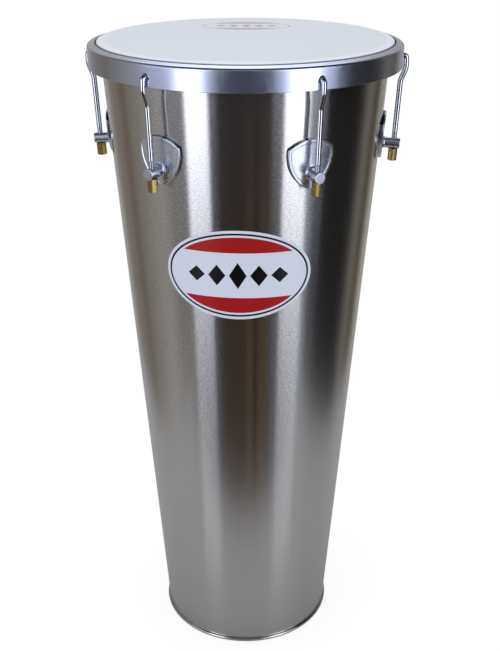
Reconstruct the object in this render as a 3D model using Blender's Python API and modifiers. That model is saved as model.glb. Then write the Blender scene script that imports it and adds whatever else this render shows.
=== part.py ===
"""Timbal: a tall tapered metal hand drum, open at the foot, with a film head on top.

The counterhoop presses the head's flesh hoop down over the shell. Six bent hooks hang in
holes in the hoop's band, pass through the posts of six lugs on the shell, and are drawn
down by long brass nuts. Metres, +Z up, floor at Z = 0, drum's axis on Z, front towards -Y.
"""

import bpy
import bmesh
from math import atan, atan2, cos, pi, radians, sin, sqrt, tan
from mathutils import Matrix, Vector

MM = 0.001

# The whole drum
DRUM_HEIGHT = 834.0 * MM          # floor to playing surface
SHELL_TOP_DIAMETER = 355.0 * MM   # outside of the cone at the top, for a 14 inch head
SHELL_FOOT_DIAMETER = 234.8 * MM  # outside of the cone at the floor
STATIONS = 6                      # tuning stations: a lug, a hook and a nut each
FIRST_STATION = radians(26.0)     # from the front, -Y, towards +X
RING_FACETS = 60                  # sides of every large ring, a multiple of STATIONS
SEAT_GAP = 0.3 * MM               # left between two pieces that touch

# Shell
SHELL_WALL = 1.0 * MM
EDGE_ROLL_RADIUS = 3.0 * MM       # outside of the bearing edge, which is turned inwards
FOOT_BEAD_DIAMETER = 6.0 * MM     # rolled bead round the open foot
BEAD_SIDES = 12                   # one side lies flat on the floor

# Head
FILM_THICKNESS = 0.25 * MM
COLLAR_RADIUS = 6.0 * MM          # the film's bend from playing surface to skirt
COLLAR_OVERHANG = 4.5 * MM        # skirt's outside, out from the shell's top
FILM_SKIRT = 11.5 * MM            # playing surface down to the film's rim
FLESH_HOOP_WIDTH = 4.5 * MM
FLESH_HOOP_HEIGHT = 7.0 * MM
FLESH_HOOP_CHAMFER = 0.8 * MM

# Counterhoop
HOOP_FLANGE_BREADTH = 9.5 * MM    # lip to the band's outside
HOOP_WALL = 2.0 * MM
HOOP_TOP_DROP = 2.4 * MM          # playing surface down to the flange's lip
HOOP_HEIGHT = 27.6 * MM           # lip down to the band's lower edge
HOOP_FLANGE_SLOPE = radians(14.0)
HOOP_CORNER_RADIUS = 3.5 * MM     # outside, between flange and band
HOOP_LIP_CLEARANCE = 0.5 * MM     # lip to film
HOOP_HOLE_DIAMETER = 8.5 * MM
HOOP_HOLE_RISE = 11.5 * MM        # band's lower edge up to the hole's centre

# Tension hooks
ROD_DIAMETER = 6.0 * MM
ROD_SIDES = 10
HOOK_TIP = 2.5 * MM               # tip's reach past the band's inner face
HOOK_BEND_RADIUS = 4.3 * MM       # of the rod's centre line
HOOK_JOG_START = 3.0 * MM         # below the band's lower edge
HOOK_JOG_END = 20.0 * MM          # below the band's lower edge
HOOK_TUCK = 0.9 * MM              # straight rod's line inside the band's face, at its edge

# Lugs
LUG_DROP = 125.7 * MM             # playing surface down to the post's root
LUG_WIDTH = 57.0 * MM
LUG_RISE = 39.0 * MM              # post's axis up to the top of the shield
LUG_TAIL = 20.5 * MM              # post's axis down to the shield's tip
LUG_THICKNESS = 4.2 * MM
LUG_TOP_RADIUS = 43.0 * MM
LUG_SIDE_RADIUS = 45.0 * MM
LUG_CORNER_RADIUS = 3.0 * MM
LUG_TIP_RADIUS = 5.0 * MM
LUG_CHAMFER = 1.0 * MM
LUG_STRIPS = 9                    # upright strips that the plate is bent in
POST_DIAMETER = 13.6 * MM
POST_LENGTH = 25.4 * MM           # shell to the post's flat end
POST_CHAMFER = 0.6 * MM
POST_FILLET = 2.4 * MM            # flare where the post grows out of the shield
POST_SIDES = 16
ROD_STANDOFF = 17.9 * MM          # shell to the rod, along the post
POST_HOLE_CLEARANCE = 0.5 * MM    # round the rod
SPOT_FACE_DEPTH = 1.0 * MM        # flat seat for the nut under the post

# Tuning nuts
NUT_ACROSS_FLATS = 11.0 * MM
NUT_LENGTH = 15.5 * MM
NUT_CHAMFER = 0.8 * MM
NUT_BORE_SIDES = 12
ROD_END_RECESS = 1.5 * MM         # rod's end above the nut's lower face

# Lug screws, one through the shell into each post, drawn at their threads' root
SCREW_DIAMETER = 5.0 * MM
SCREW_GRIP = 10.0 * MM            # length inside the lug
SCREW_HEAD_DIAMETER = 11.0 * MM
SCREW_HEAD_HEIGHT = 3.6 * MM
SCREW_HOLE_CLEARANCE = 0.8 * MM   # round the screw, in shell and washer
WASHER_DIAMETER = 18.0 * MM
WASHER_THICKNESS = 1.6 * MM
SMALL_SIDES = 12

# Worked out from the sizes above
TAPER = atan((SHELL_TOP_DIAMETER - SHELL_FOOT_DIAMETER) / 2 / DRUM_HEIGHT)
FACET_FALL = tan(pi / RING_FACETS)  # a ring's facet falls away by this, per unit of breadth
SKIRT_RADIUS = SHELL_TOP_DIAMETER / 2 + COLLAR_OVERHANG
LIP_RADIUS = SKIRT_RADIUS + HOOP_LIP_CLEARANCE
HOOP_RADIUS = LIP_RADIUS + HOOP_FLANGE_BREADTH
LIP_Z = DRUM_HEIGHT - HOOP_TOP_DROP
HOOP_LOW_Z = LIP_Z - HOOP_HEIGHT
HOOP_HOLE_Z = HOOP_LOW_Z + HOOP_HOLE_RISE
BEARING_Z = DRUM_HEIGHT - FILM_THICKNESS - SEAT_GAP
LUG_Z = DRUM_HEIGHT - LUG_DROP
NUT_TOP = -(POST_DIAMETER / 2 - SPOT_FACE_DEPTH + SEAT_GAP)  # along the rod, from the post's axis
NUT_BOTTOM = NUT_TOP - NUT_LENGTH
ROD_END = NUT_BOTTOM + ROD_END_RECESS


def shell_radius(z, proud=0.0):
    """Radius at height z of the cone that stands proud of the shell's outside."""
    return SHELL_FOOT_DIAMETER / 2 + z * tan(TAPER) + proud / cos(TAPER)


def arc(centre_a, centre_b, radius, start, end, steps):
    """Points of an arc, both ends included. Angles are in degrees from the first axis."""
    angles = [radians(start + (end - start) * i / steps) for i in range(steps + 1)]
    return [(centre_a + radius * cos(a), centre_b + radius * sin(a)) for a in angles]


# Scene, collections and materials
def clear_scene():
    for obj in list(bpy.data.objects):
        bpy.data.objects.remove(obj, do_unlink=True)


def new_collection(name):
    collection = bpy.data.collections.new(name)
    bpy.context.scene.collection.children.link(collection)
    return collection


def metal(name, colour, roughness):
    material = bpy.data.materials.new(name)
    material.use_nodes = True
    shader = material.node_tree.nodes["Principled BSDF"]
    shader.inputs["Base Color"].default_value = (*colour, 1.0)
    shader.inputs["Metallic"].default_value = 1.0
    shader.inputs["Roughness"].default_value = roughness
    return material


def plastic_film(name, colour, roughness):
    material = metal(name, colour, roughness)
    material.node_tree.nodes["Principled BSDF"].inputs["Metallic"].default_value = 0.0
    return material


# Building blocks
def add_object(name, data, collection, material=None):
    obj = bpy.data.objects.new(name, data)
    collection.objects.link(obj)
    if material:
        obj.data.materials.append(material)
    return obj


def turned(name, profile, sides, collection, material=None, closed=True):
    """Revolves (radius, z) points about Z. The profile runs down its outer side."""
    mesh = bpy.data.meshes.new(name)
    edges = [(i, i + 1) for i in range(len(profile) - 1)]
    if closed:
        edges.append((len(profile) - 1, 0))
    mesh.from_pydata([(r, 0.0, z) for r, z in profile], edges, [])
    obj = add_object(name, mesh, collection, material)
    screw = obj.modifiers.new("Turn", "SCREW")
    screw.axis = "Z"
    screw.angle = 2 * pi
    screw.steps = sides
    screw.render_steps = sides
    screw.use_merge_vertices = True
    screw.merge_threshold = 0.00002
    screw.use_smooth_shade = True
    return obj


def boolean(obj, cutter, operation):
    modifier = obj.modifiers.new(operation.title(), "BOOLEAN")
    modifier.operation = operation
    modifier.object = cutter
    return modifier


def baked(obj):
    """The evaluated mesh of a helper object in world space. The helper stays for its owner."""
    graph = bpy.context.evaluated_depsgraph_get()
    graph.update()
    mesh = bpy.data.meshes.new_from_object(obj.evaluated_get(graph))
    mesh.transform(obj.matrix_world)
    shape = bmesh.new()
    shape.from_mesh(mesh)
    bmesh.ops.remove_doubles(shape, verts=shape.verts, dist=0.00002)
    bmesh.ops.recalc_face_normals(shape, faces=shape.faces)
    shape.to_mesh(mesh)
    shape.free()
    return mesh


def hide_helper(obj):
    obj.hide_render = True
    obj.display_type = "WIRE"


def finish_mesh(mesh, name, material):
    mesh.name = name
    mesh.materials.clear()
    mesh.materials.append(material)
    mesh.shade_smooth()
    mesh.set_sharp_from_angle(angle=radians(32.0))
    return mesh


def rod_cutter(name, radius, sides, spans, collection):
    """One mesh of cylinders. A span is (start, end), two points on its axis."""
    shape = bmesh.new()
    for start, end in spans:
        axis = end - start
        turn = axis.to_track_quat("Z", "X").to_matrix().to_4x4()
        place = Matrix.Translation((start + end) / 2) @ turn
        bmesh.ops.create_cone(shape, cap_ends=True, segments=sides, radius1=radius,
                              radius2=radius, depth=axis.length, matrix=place)
    mesh = bpy.data.meshes.new(name)
    shape.to_mesh(mesh)
    shape.free()
    obj = add_object(name, mesh, collection)
    hide_helper(obj)
    return obj


# Frames that the repeated pieces are modelled in
def station_matrix(index):
    """Turns the plane of +X and Z to a tuning station."""
    azimuth = FIRST_STATION + index * 2 * pi / STATIONS
    return Matrix.Rotation(azimuth - pi / 2, 4, "Z")


def lug_frame():
    """X along the post, away from the shell; Z up the wall; at the post's root."""
    root = Vector((shell_radius(LUG_Z), 0.0, LUG_Z))
    return Matrix.Translation(root) @ Matrix.Rotation(TAPER, 4, "Y")


def rod_crossing():
    return lug_frame() @ Vector((ROD_STANDOFF, 0.0, 0.0))


def rod_top():
    """Where the straight rod's line passes the level of the band's lower edge."""
    return Vector((HOOP_RADIUS - HOOK_TUCK, 0.0, HOOP_LOW_Z))


def rod_frame():
    """Z up the rod, X away from the shell, at the crossing of rod and post."""
    run = rod_top() - rod_crossing()
    lean = atan2(run.x, run.z)
    return Matrix.Translation(rod_crossing()) @ Matrix.Rotation(lean, 4, "Y")


def place_copies(base_name, mesh, frame, collection):
    """One object for each station, all sharing the mesh, parented to the station's empty."""
    for index in range(STATIONS):
        obj = add_object(f"{base_name}_{index + 1}", mesh, collection)
        obj.parent = station_empties[index]
        obj.matrix_local = frame


# Rings
def shell_profile():
    roll = EDGE_ROLL_RADIUS
    roll_z = BEARING_Z - roll
    roll_r = shell_radius(roll_z, -roll)
    wall_angle = -TAPER * 180 / pi
    outside = arc(roll_r, roll_z, roll, 180, wall_angle, 4)
    inside = arc(roll_r, roll_z, roll - SHELL_WALL, wall_angle, 180, 3)
    bead = FOOT_BEAD_DIAMETER / 2
    step = 360 / BEAD_SIDES
    corner = bead / cos(pi / BEAD_SIDES)
    bead_r = shell_radius(bead)
    rim = arc(bead_r, bead, corner, 90 - step / 2, 135 - 360, BEAD_SIDES - 2)
    neck = FOOT_BEAD_DIAMETER
    return (outside + [(shell_radius(neck), neck)] + rim
            + [(shell_radius(neck, -SHELL_WALL), neck)] + inside)


def film_profile():
    bend_r = SKIRT_RADIUS - COLLAR_RADIUS
    bend_z = DRUM_HEIGHT - COLLAR_RADIUS
    rim_z = DRUM_HEIGHT - FILM_SKIRT
    outside = arc(bend_r, bend_z, COLLAR_RADIUS, 90, 0, 4)
    inside = arc(bend_r, bend_z, COLLAR_RADIUS - FILM_THICKNESS, 0, 90, 4)
    return ([(0.0, DRUM_HEIGHT)] + outside
            + [(SKIRT_RADIUS, rim_z), (SKIRT_RADIUS - FILM_THICKNESS, rim_z)]
            + inside + [(0.0, DRUM_HEIGHT - FILM_THICKNESS)])


def flange_underside(radius):
    fall = (radius - LIP_RADIUS) * tan(HOOP_FLANGE_SLOPE)
    return LIP_Z - HOOP_WALL / cos(HOOP_FLANGE_SLOPE) - fall


def flesh_hoop_profile():
    inner = SKIRT_RADIUS + SEAT_GAP
    outer = inner + FLESH_HOOP_WIDTH
    top = flange_underside(outer) - SEAT_GAP
    low = top - FLESH_HOOP_HEIGHT
    cut = FLESH_HOOP_CHAMFER
    return [(inner, top), (outer - cut, top), (outer, top - cut), (outer, low + cut),
            (outer - cut, low), (inner, low)]


def counterhoop_profile():
    slope = HOOP_FLANGE_SLOPE
    radius = HOOP_CORNER_RADIUS
    corner_r = HOOP_RADIUS - radius
    corner_z = LIP_Z - (corner_r - LIP_RADIUS) * tan(slope) - radius / cos(slope)
    tangent = 90 - slope * 180 / pi
    outside = arc(corner_r, corner_z, radius, tangent, 0, 4)
    inside = arc(corner_r, corner_z, radius - HOOP_WALL, 0, tangent, 2)
    return ([(LIP_RADIUS, LIP_Z)] + outside
            + [(HOOP_RADIUS, HOOP_LOW_Z), (HOOP_RADIUS - HOOP_WALL, HOOP_LOW_Z)]
            + inside + [(LIP_RADIUS, flange_underside(LIP_RADIUS))])


def make_rings():
    shell = turned("shell", shell_profile(), RING_FACETS, parts, brushed_steel)
    film = turned("drumhead_film", film_profile(), RING_FACETS, parts, film_white, closed=False)
    flesh = turned("flesh_hoop", flesh_hoop_profile(), RING_FACETS, parts, bare_aluminium)
    hoop = turned("counterhoop", counterhoop_profile(), RING_FACETS, parts, chrome)
    for ring in (shell, film, flesh, hoop):
        ring.matrix_world = station_matrix(0)

    wall_spans = []
    band_spans = []
    for index in range(STATIONS):
        turn = station_matrix(index)
        lug = turn @ lug_frame()
        reach = 5 * SHELL_WALL
        wall_spans.append((lug @ Vector((-reach, 0, 0)), lug @ Vector((reach, 0, 0))))
        inner = HOOP_RADIUS - 2 * HOOP_WALL
        outer = HOOP_RADIUS + HOOP_WALL
        band_spans.append((turn @ Vector((inner, 0, HOOP_HOLE_Z)),
                           turn @ Vector((outer, 0, HOOP_HOLE_Z))))
    screw_hole = SCREW_DIAMETER / 2 + SCREW_HOLE_CLEARANCE
    holes = rod_cutter("shell_screw_holes", screw_hole, SMALL_SIDES, wall_spans, cutters)
    boolean(shell, holes, "DIFFERENCE")
    holes = rod_cutter("hoop_hook_holes", HOOP_HOLE_DIAMETER / 2, 16, band_spans, cutters)
    boolean(hoop, holes, "DIFFERENCE")


# Tension hooks
def smooth(t):
    return t * t * (3 - 2 * t)


def hook_path():
    """(radius, z) points of the hook's centre line, tip first."""
    rod_radius = ROD_DIAMETER / 2
    tip_z = HOOP_HOLE_Z - (HOOP_HOLE_DIAMETER / 2 - rod_radius - SEAT_GAP)
    bend = HOOK_BEND_RADIUS
    tip = (HOOP_RADIUS - HOOP_WALL - HOOK_TIP, tip_z)
    loop = arc(HOOP_RADIUS, tip_z - bend, bend, 90, 0, 5)
    frame = rod_frame()
    along = frame.to_3x3() @ Vector((0, 0, 1))
    crossing = rod_crossing()
    jog_top = HOOP_LOW_Z - HOOK_JOG_START
    jog_low = HOOP_LOW_Z - HOOK_JOG_END
    jog = []
    steps = 6
    for i in range(steps + 1):
        z = jog_top + (jog_low - jog_top) * i / steps
        straight = crossing.x + (z - crossing.z) * along.x / along.z
        blend = smooth(i / steps)
        jog.append(((HOOP_RADIUS + bend) * (1 - blend) + straight * blend, z))
    end = frame @ Vector((0, 0, ROD_END))
    return [tip] + loop + jog + [(end.x, end.z)]


def make_hooks():
    frame = rod_frame()
    to_rod = frame.inverted()
    points = [to_rod @ Vector((r, 0.0, z)) for r, z in hook_path()]
    curve = bpy.data.curves.new("hook_centre_line", "CURVE")
    curve.dimensions = "3D"
    curve.bevel_depth = ROD_DIAMETER / 2 / cos(pi / ROD_SIDES) ** 0.5
    curve.bevel_resolution = (ROD_SIDES - 4) // 2
    curve.use_fill_caps = True
    spline = curve.splines.new("POLY")
    spline.points.add(len(points) - 1)
    for point, place in zip(spline.points, points):
        point.co = (*place, 1.0)
    guide = add_object("hook_guide", curve, cutters)
    mesh = finish_mesh(baked(guide), "tension_hook", chrome)
    bpy.data.objects.remove(guide, do_unlink=True)
    place_copies("tension_hook", mesh, frame, parts)


# Tuning nuts
def make_nuts():
    shape = bmesh.new()
    corner = NUT_ACROSS_FLATS / 2 / cos(pi / 6)
    middle = Matrix.Translation((0, 0, (NUT_TOP + NUT_BOTTOM) / 2))
    bmesh.ops.create_cone(shape, cap_ends=True, segments=6, radius1=corner, radius2=corner,
                          depth=NUT_LENGTH, matrix=middle)
    ends = [e for e in shape.edges if abs(e.verts[0].co.z - e.verts[1].co.z) < NUT_CHAMFER]
    bmesh.ops.bevel(shape, geom=ends, offset=NUT_CHAMFER, segments=1, affect="EDGES")
    mesh = bpy.data.meshes.new("nut_blank")
    shape.to_mesh(mesh)
    shape.free()
    blank = add_object("nut_blank", mesh, cutters)
    through = (Vector((0, 0, NUT_BOTTOM - NUT_CHAMFER)), Vector((0, 0, NUT_TOP + NUT_CHAMFER)))
    bore = rod_cutter("nut_bore", bore_radius(ROD_DIAMETER, NUT_BORE_SIDES), NUT_BORE_SIDES,
                      [through], cutters)
    boolean(blank, bore, "DIFFERENCE")
    mesh = finish_mesh(baked(blank), "tuning_nut", brass)
    bpy.data.objects.remove(blank, do_unlink=True)
    bpy.data.objects.remove(bore, do_unlink=True)
    place_copies("tuning_nut", mesh, rod_frame(), parts)


def bore_radius(diameter, sides):
    """Radius of a faceted bore whose flats clear a round piece by the seat gap."""
    return (diameter / 2 + SEAT_GAP) / cos(pi / sides)


# Lugs
def circles_meet(a, radius_a, b, radius_b):
    """The meeting point, to the right of the line from a to b, of two circles."""
    run = (b[0] - a[0], b[1] - a[1])
    span = sqrt(run[0] ** 2 + run[1] ** 2)
    along = (span ** 2 + radius_a ** 2 - radius_b ** 2) / (2 * span)
    aside = sqrt(radius_a ** 2 - along ** 2)
    unit = (run[0] / span, run[1] / span)
    return (a[0] + unit[0] * along + unit[1] * aside, a[1] + unit[1] * along - unit[0] * aside)


def bearing(centre, point):
    return atan2(point[1] - centre[1], point[0] - centre[0]) * 180 / pi


def shield_outline(inset):
    """A plectrum of three arcs with rounded corners, as (breadth, rise) from the post's axis."""
    half = LUG_WIDTH / 2
    top = (0.0, LUG_RISE - LUG_TOP_RADIUS)
    shoulder = (half, top[1] + sqrt(LUG_TOP_RADIUS ** 2 - half ** 2))
    tip = (0.0, -LUG_TAIL)
    side = circles_meet(shoulder, LUG_SIDE_RADIUS, tip, LUG_SIDE_RADIUS)
    corner = circles_meet(top, LUG_TOP_RADIUS - LUG_CORNER_RADIUS,
                          side, LUG_SIDE_RADIUS - LUG_CORNER_RADIUS)
    drop = sqrt((LUG_SIDE_RADIUS - LUG_TIP_RADIUS) ** 2 - side[0] ** 2)
    tip_centre = (0.0, side[1] - drop)
    top_end = bearing(top, corner)
    side_start = bearing(side, corner)
    side_end = bearing(side, tip_centre)
    right = arc(*top, LUG_TOP_RADIUS - inset, 90, top_end, 3)
    right += arc(*corner, LUG_CORNER_RADIUS - inset, top_end, side_start, 3)[1:]
    right += arc(*side, LUG_SIDE_RADIUS - inset, side_start, side_end, 6)[1:]
    right += arc(*tip_centre, LUG_TIP_RADIUS - inset, side_end, -90, 2)[1:]
    left = [(-x, z) for x, z in reversed(right[1:-1])]
    return right + left


def bent_round_shell(point):
    """Takes a flat lug's point (proud, breadth, rise) to its place on the cone, in the lug frame."""
    proud, breadth, rise = point
    z = LUG_Z + rise * cos(TAPER) - proud * sin(TAPER)
    out = sqrt(shell_radius(z, proud) ** 2 - breadth ** 2)
    return lug_frame().inverted() @ Vector((out, breadth, z))


def shield_blank():
    """A flat plate with a chamfered front, cut in upright strips, then bent round the shell."""
    outline = shield_outline(0.0)
    levels = ((SEAT_GAP, outline), (LUG_THICKNESS - LUG_CHAMFER, outline),
              (LUG_THICKNESS, shield_outline(LUG_CHAMFER)))
    shape = bmesh.new()
    rings = [[shape.verts.new((proud, *place)) for place in points] for proud, points in levels]
    shape.faces.new(rings[0])
    shape.faces.new(rings[-1])
    for low, high in zip(rings, rings[1:]):
        for i in range(len(low)):
            shape.faces.new((low[i - 1], low[i], high[i], high[i - 1]))
    for strip in range(1, LUG_STRIPS):
        cut = LUG_WIDTH * (strip / LUG_STRIPS - 0.5)
        everything = shape.verts[:] + shape.edges[:] + shape.faces[:]
        bmesh.ops.bisect_plane(shape, geom=everything, plane_co=(0, cut, 0), plane_no=(0, 1, 0))
    for vert in shape.verts:
        vert.co = bent_round_shell(vert.co)
    bmesh.ops.recalc_face_normals(shape, faces=shape.faces)
    mesh = bpy.data.meshes.new("shield_blank")
    shape.to_mesh(mesh)
    shape.free()
    return add_object("shield_blank", mesh, cutters)


def post_blank():
    radius = POST_DIAMETER / 2
    root = LUG_THICKNESS
    fillet = arc(radius + POST_FILLET, root + POST_FILLET, POST_FILLET, 180, 270, 3)
    profile = [(0.0, POST_LENGTH), (radius - POST_CHAMFER, POST_LENGTH),
               (radius, POST_LENGTH - POST_CHAMFER)] + fillet
    profile += [(radius + POST_FILLET, root / 2), (0.0, root / 2)]
    post = turned("post_blank", profile, POST_SIDES, cutters, closed=False)
    post.matrix_world = Matrix.Rotation(pi / 2, 4, "Y")
    return post


def make_lugs():
    to_lug = lug_frame().inverted()
    in_lug = to_lug @ rod_frame()
    shield = shield_blank()
    post = post_blank()
    boolean(shield, post, "UNION")

    past = POST_DIAMETER
    hole_radius = ROD_DIAMETER / 2 + POST_HOLE_CLEARANCE
    hole_ends = (in_lug @ Vector((0, 0, -past)), in_lug @ Vector((0, 0, past)))
    hole = rod_cutter("post_cross_hole", hole_radius, 14, [hole_ends], cutters)
    seat = NUT_TOP + SEAT_GAP
    seat_ends = (in_lug @ Vector((0, 0, seat - past)), in_lug @ Vector((0, 0, seat)))
    spot = rod_cutter("nut_spot_face", POST_DIAMETER / 2, 18, [seat_ends], cutters)
    bore_ends = (Vector((-SHELL_WALL, 0, 0)), Vector((SCREW_GRIP + SHELL_WALL, 0, 0)))
    bore = rod_cutter("lug_screw_bore", bore_radius(SCREW_DIAMETER, SMALL_SIDES), SMALL_SIDES,
                      [bore_ends], cutters)
    for cutter in (hole, spot, bore):
        boolean(shield, cutter, "DIFFERENCE")
    mesh = finish_mesh(baked(shield), "lug", chrome)
    for helper in (shield, post, hole, spot, bore):
        bpy.data.objects.remove(helper, do_unlink=True)
    place_copies("lug", mesh, lug_frame(), parts)


# Screws and washers inside the shell
def washer_seat():
    """The washer's outer face, along the post's axis. Its rim touches the curved wall first."""
    return -(SHELL_WALL + SEAT_GAP + WASHER_DIAMETER / 2 * FACET_FALL)


def make_fasteners():
    face = washer_seat()
    hole = SCREW_DIAMETER / 2 + SCREW_HOLE_CLEARANCE
    rim = WASHER_DIAMETER / 2
    back = face - WASHER_THICKNESS
    washer = turned("washer_blank", [(hole, face), (rim, face), (rim, back), (hole, back)],
                    SMALL_SIDES, cutters)
    head_top = back - SEAT_GAP
    head_back = head_top - SCREW_HEAD_HEIGHT
    radius = SCREW_HEAD_DIAMETER / 2
    edge = SCREW_HEAD_HEIGHT / 3
    shank = SCREW_DIAMETER / 2
    profile = [(0.0, SCREW_GRIP), (shank, SCREW_GRIP), (shank, head_top), (radius, head_top),
               (radius, head_back + edge), (radius - edge, head_back), (0.0, head_back)]
    screw = turned("screw_blank", profile, SMALL_SIDES, cutters, closed=False)
    for name, blank, material in (("lug_washer", washer, steel), ("lug_screw", screw, steel)):
        blank.matrix_world = Matrix.Rotation(pi / 2, 4, "Y")
        bpy.context.view_layer.update()
        mesh = finish_mesh(baked(blank), name, material)
        bpy.data.objects.remove(blank, do_unlink=True)
        place_copies(name, mesh, lug_frame(), parts)


def make_station_empties():
    empties = []
    for index in range(STATIONS):
        empty = add_object(f"station_{index + 1}", None, parts)
        empty.matrix_world = station_matrix(index)
        empties.append(empty)
    return empties


clear_scene()
parts = new_collection("timbal")
cutters = new_collection("cutters")
brushed_steel = metal("brushed stainless steel", (0.62, 0.61, 0.59), 0.28)
chrome = metal("chrome plate", (0.75, 0.76, 0.78), 0.08)
brass = metal("brass", (0.72, 0.55, 0.22), 0.25)
steel = metal("zinc plated steel", (0.60, 0.61, 0.62), 0.35)
bare_aluminium = metal("bare aluminium", (0.78, 0.78, 0.79), 0.40)
film_white = plastic_film("white drum film", (0.80, 0.85, 0.90), 0.35)
station_empties = make_station_empties()
bpy.context.view_layer.update()
make_rings()
make_hooks()
make_nuts()
make_lugs()
make_fasteners()
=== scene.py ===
# A timbal: a tall tapered hand drum of brushed stainless steel, standing in a white studio.
# Every length in the dictionaries is in millimetres, every angle in degrees.
from math import asin, atan, atan2, cos, degrees, hypot, pi, radians, sin, sqrt, tan

import bmesh
import bpy
from mathutils import Matrix, Vector
from mathutils.bvhtree import BVHTree
from mathutils.geometry import barycentric_transform


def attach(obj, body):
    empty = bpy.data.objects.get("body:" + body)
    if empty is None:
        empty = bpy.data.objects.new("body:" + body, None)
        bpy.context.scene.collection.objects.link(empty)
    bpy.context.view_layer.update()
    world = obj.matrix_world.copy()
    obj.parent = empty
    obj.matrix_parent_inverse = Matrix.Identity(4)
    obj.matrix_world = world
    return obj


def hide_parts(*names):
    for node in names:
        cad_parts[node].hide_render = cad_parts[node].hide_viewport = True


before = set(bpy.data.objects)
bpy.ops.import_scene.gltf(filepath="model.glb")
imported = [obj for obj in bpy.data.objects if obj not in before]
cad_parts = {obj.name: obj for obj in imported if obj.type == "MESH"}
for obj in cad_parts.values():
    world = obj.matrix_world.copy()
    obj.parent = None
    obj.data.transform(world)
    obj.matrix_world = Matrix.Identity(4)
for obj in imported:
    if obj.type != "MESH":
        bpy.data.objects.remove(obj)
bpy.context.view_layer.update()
print("frame loaded:", len(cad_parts), "nodes")

mm = 0.001


# The drum's own frame: the shell's cone and the six stations round it
drum = {
    "height": 834.0,
    "topDiameter": 355.0,
    "footDiameter": 234.8,
    "stations": 6,
    "firstStation": 26.0,   # from the front towards +X
    "seatGap": 0.3,
    "sides": 288,
}
taper = atan((drum["topDiameter"] - drum["footDiameter"]) / 2 / drum["height"])


def shellRadius(z, proud=0.0):
    # at height z, of the cone that stands proud of the shell's outside
    return drum["footDiameter"] / 2 + z * tan(taper) + proud / cos(taper)


def stationAngle(index):
    # radians from +X
    return radians(drum["firstStation"] - 90.0) + index * 2 * pi / drum["stations"]


# Colours and nodes
def hexColour(text, level=1.0):
    # sRGB hex to the linear colour that a socket takes
    parts = [int(text[i:i + 2], 16) / 255 for i in (1, 3, 5)]
    linear = [c / 12.92 if c <= 0.04045 else ((c + 0.055) / 1.055) ** 2.4 for c in parts]
    return (*(c * level for c in linear), 1.0)


def nodeAdder(tree):
    # Gives the function that adds a node, or takes one that is there, with its settings and
    # links. Inputs come in their order or by name, with _ for a space. Each is given a value, a
    # socket, or a node, whose first output in use is then linked to it.
    def add(node, *inputs, **settings):
        if isinstance(node, str):
            node = tree.nodes.new(node)
        for key in [key for key in settings if hasattr(node, key)]:
            setattr(node, key, settings.pop(key))
        used = [socket for socket in node.inputs if socket.enabled]
        named = {socket.name.replace(" ", "_"): socket for socket in used}
        pairs = [*zip(used, inputs), *((named[key], value) for key, value in settings.items())]
        for socket, value in pairs:
            if isinstance(value, bpy.types.Node):
                value = next(output for output in value.outputs if output.enabled)
            if isinstance(value, bpy.types.NodeSocket):
                tree.links.new(value, socket)
            else:
                socket.default_value = value
        return node

    return add


def newMaterial(name):
    material = bpy.data.materials.new(name)
    material.use_nodes = True
    tree = material.node_tree
    return material, nodeAdder(tree), tree.nodes["Principled BSDF"]


def placeNodes(add):
    # the coordinates, the place on the object as X, Y and Z, and its distance from the axis
    place = add("ShaderNodeTexCoord").outputs
    split = add("ShaderNodeSeparateXYZ", place["Object"])
    flat = add("ShaderNodeVectorMath", place["Object"], (1.0, 1.0, 0.0), operation="MULTIPLY")
    return place, split, add("ShaderNodeVectorMath", flat, operation="LENGTH")


# Objects
def newObject(name, data):
    obj = bpy.data.objects.new(name, data)
    bpy.context.scene.collection.objects.link(obj)
    return obj


def fromBmesh(name, shape):
    mesh = bpy.data.meshes.new(name)
    shape.to_mesh(mesh)
    shape.free()
    return newObject(name, mesh)


def drop(*objects):
    for obj in objects:
        bpy.data.objects.remove(obj, do_unlink=True)


# Materials
brushing = {
    "colour": "#cecdcb",
    "roughness": 0.186,
    "roughnessWander": 0.02,
    "oneWay": 0.97,         # how much narrower the reflections are round the drum
    "streakPitch": 1.7,     # of the belt's scratches: real ones are near 0.05, too fine to show
    "streakLength": 3.4,    # round the drum
    "streakRadius": 150.0,  # where that length holds
    "streakDepth": 0.018,
    "toneMiddle": 0.92,
    "tone": 0.21,           # from the darkest streak to the lightest
    "noise": (0.3, 0.7),    # most of the noise lies between
}


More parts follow.
